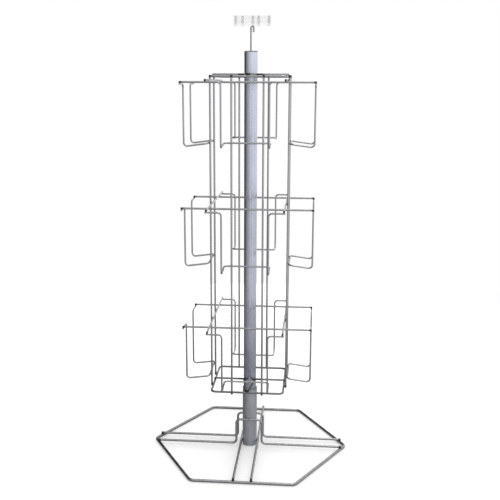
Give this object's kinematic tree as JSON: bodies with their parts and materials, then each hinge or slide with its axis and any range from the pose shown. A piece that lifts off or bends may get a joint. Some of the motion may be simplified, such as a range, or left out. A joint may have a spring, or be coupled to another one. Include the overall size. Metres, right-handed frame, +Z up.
{
  "type": "postcard spinner rack",
  "caption": "Countertop wire spinner rack: open wire card pockets in tiers round a turning tube column, on a hexagonal wire base, with a clear sign clip on top.",
  "frame": {"origin": "on the counter, on the axis of the column", "axes": "+Z up along the column; -Y is the front, where the two braces have their apexes; +X is the right, where the sign hook points"},
  "size_m": [0.2972, 0.2604, 0.6445],
  "materials": {
    "wire": "bright zinc plated wire",
    "column": "smooth, glossy plated tube",
    "socket": "dull plated tube",
    "nylon": "plain moulded nylon",
    "clip": "clear extruded plastic"
  },
  "bodies": {
    "base": {"base_ring": "wire", "front_cross_wire": "wire", "rear_cross_wire": "wire", "left_foot_wire": "wire", "right_foot_wire": "wire", "base_socket": "socket", "thrust_plug": "nylon", "socket_bush": "nylon"},
    "rack": {"column_tube": "column", "column_foot_plug": "nylon", "column_cap": "nylon", "bottom_ring": "wire", "top_ring": "wire", "bottom_brace": "wire", "top_brace": "wire", "front_upright_1": "wire", "front_upright_2": "wire", "right_upright_1": "wire", "right_upright_2": "wire", "rear_upright_1": "wire", "rear_upright_2": "wire", "left_upright_1": "wire", "left_upright_2": "wire", "low_front_rail": "wire", "low_right_rail": "wire", "low_rear_rail": "wire", "low_left_rail": "wire", "middle_front_rail": "wire", "middle_right_rail": "wire", "middle_rear_rail": "wire", "middle_left_rail": "wire", "top_front_rail": "wire", "top_right_rail": "wire", "top_rear_rail": "wire", "top_left_rail": "wire", "low_front_pocket": "wire", "low_right_pocket": "wire", "low_rear_pocket": "wire", "low_left_pocket": "wire", "middle_front_pocket": "wire", "middle_right_pocket": "wire", "middle_rear_pocket": "wire", "middle_left_pocket": "wire", "top_front_pocket": "wire", "top_right_pocket": "wire", "top_rear_pocket": "wire", "top_left_pocket": "wire"},
    "sign": {"sign_stem": "wire", "sign_clip": "clip"}
  },
  "joints": [
    {"name": "rack_spin", "type": "hinge", "parent": "base", "child": "rack", "pos_m": [0, 0, 0.092], "axis": [0, 0, 1], "continuous": true},
    {"name": "sign_turn", "type": "hinge", "parent": "rack", "child": "sign", "pos_m": [0, 0, 0.59], "axis": [0, 0, 1], "continuous": true}
  ]
}
